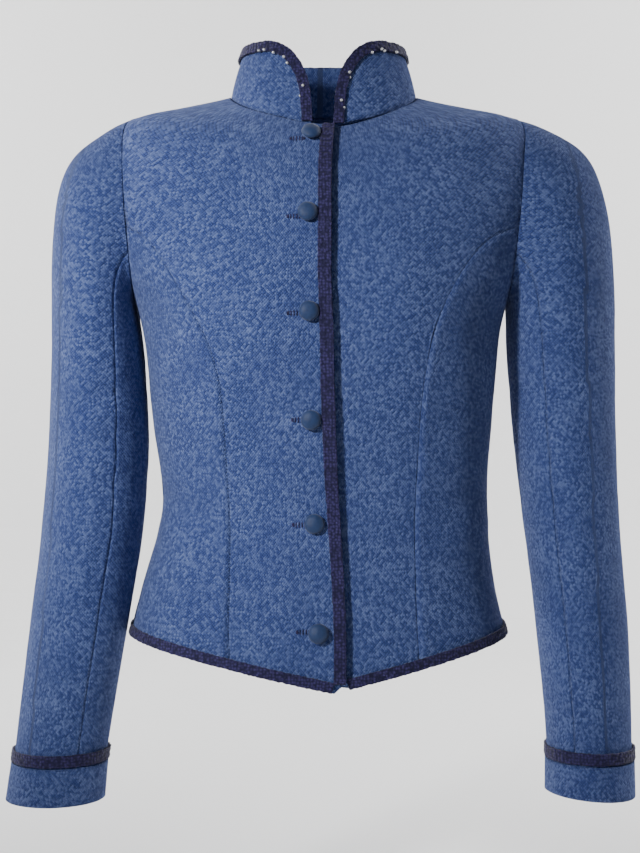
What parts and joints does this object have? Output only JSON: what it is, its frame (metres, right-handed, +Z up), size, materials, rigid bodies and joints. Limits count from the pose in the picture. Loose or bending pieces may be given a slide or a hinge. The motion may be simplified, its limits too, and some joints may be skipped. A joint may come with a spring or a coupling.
{
  "type": "tyrolean loden jacket",
  "caption": "Short fitted women's loden jacket with stand collar, princess seams, covered buttons, crochet braid edges and turned-back cuffs.",
  "frame": {"origin": "midway between the shoulders at the height of the side of the neck, where the wearer's neck and shoulders hold it", "axes": "+X to the wearer's left, +Y to the wearer's back, +Z up"},
  "size_m": [0.5536, 0.2418, 0.6621],
  "materials": {
    "loden": "milled melange wool weave",
    "braid": "crochet braid",
    "button_cloth": "suede-like cloth over a dome"
  },
  "bodies": {
    "root": {"front_right_centre": "loden", "front_right_side": "loden", "back_right_side": "loden", "sleeve_right_top": "loden", "sleeve_right_under": "loden", "cuff_right": "loden", "front_left_centre": "loden", "front_left_side": "loden", "back_left_side": "loden", "sleeve_left_top": "loden", "sleeve_left_under": "loden", "cuff_left": "loden", "back_centre": "loden", "collar": "loden", "front_edge_braid": "braid", "hem_braid": "braid", "collar_braid": "braid", "cuff_braid_right": "braid", "cuff_braid_left": "braid", "button_1": "button_cloth", "button_2": "button_cloth", "button_3": "button_cloth", "button_4": "button_cloth", "button_5": "button_cloth", "button_6": "button_cloth"}
  },
  "joints": []
}
